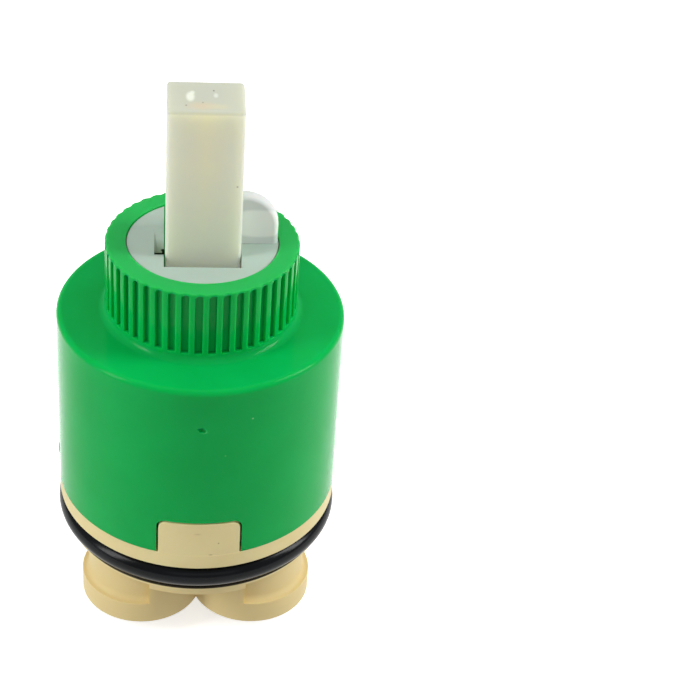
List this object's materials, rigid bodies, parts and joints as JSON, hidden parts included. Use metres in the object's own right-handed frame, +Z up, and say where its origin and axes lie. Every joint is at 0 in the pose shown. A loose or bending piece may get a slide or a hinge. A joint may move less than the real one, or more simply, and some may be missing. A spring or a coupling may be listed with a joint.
{
  "type": "ceramic disc tap cartridge",
  "caption": "Single-lever mixer cartridge: fluted plastic barrel, distributor base with inlet ports and locating pegs, ceramic discs, turning guide and tilting lever.",
  "frame": {"origin": "on the cartridge's axis, level with the tips of the locating pegs", "axes": "+Z up the axis towards the lever, -Y towards the inlet ports, +X towards the guide's ear"},
  "size_m": [0.0404, 0.0404, 0.082],
  "materials": {
    "green_plastic": "moulded, satin",
    "beige_plastic": "moulded, satin",
    "black_rubber": "smooth, lightly greased",
    "disc_ceramic": "lapped",
    "carrier_plastic": "moulded, matte",
    "white_plastic": "moulded, satin",
    "ring_plastic": "smooth",
    "pin_steel": "ground",
    "cream_plastic": "natural nylon, satin"
  },
  "bodies": {
    "cartridge_body": {"housing": "green_plastic", "base": "beige_plastic", "body_o_ring": "black_rubber", "inlet_seal_left": "black_rubber", "inlet_seal_right": "black_rubber", "disc_seal_left": "black_rubber", "disc_seal_right": "black_rubber", "disc_seal_outlet": "black_rubber", "fixed_disc": "disc_ceramic"},
    "rotor": {"rotary_guide": "white_plastic", "thrust_ring": "ring_plastic", "lever_pin": "pin_steel"},
    "carrier": {"disc_carrier": "carrier_plastic", "moving_disc": "disc_ceramic", "carrier_seal": "black_rubber"},
    "lever": {"lever": "cream_plastic"}
  },
  "joints": [
    {"name": "rotor_turn", "type": "hinge", "parent": "cartridge_body", "child": "rotor", "pos_m": [0, 0, 0.05], "axis": [0, 0, 1], "range_deg": [-50, 50]},
    {"name": "lever_tilt", "type": "hinge", "parent": "rotor", "child": "lever", "pos_m": [0, 0, 0.05], "axis": [1, 0, 0], "range_deg": [-12.5, 12.5]},
    {"name": "carrier_slide", "type": "slide", "parent": "rotor", "child": "carrier", "axis": [0, 1, 0], "range_m": [-0.0027, 0.0027]}
  ],
  "couplings": [
    {"joint": "carrier_slide", "follows": "lever_tilt", "m_per_rad": 0.01197}
  ]
}
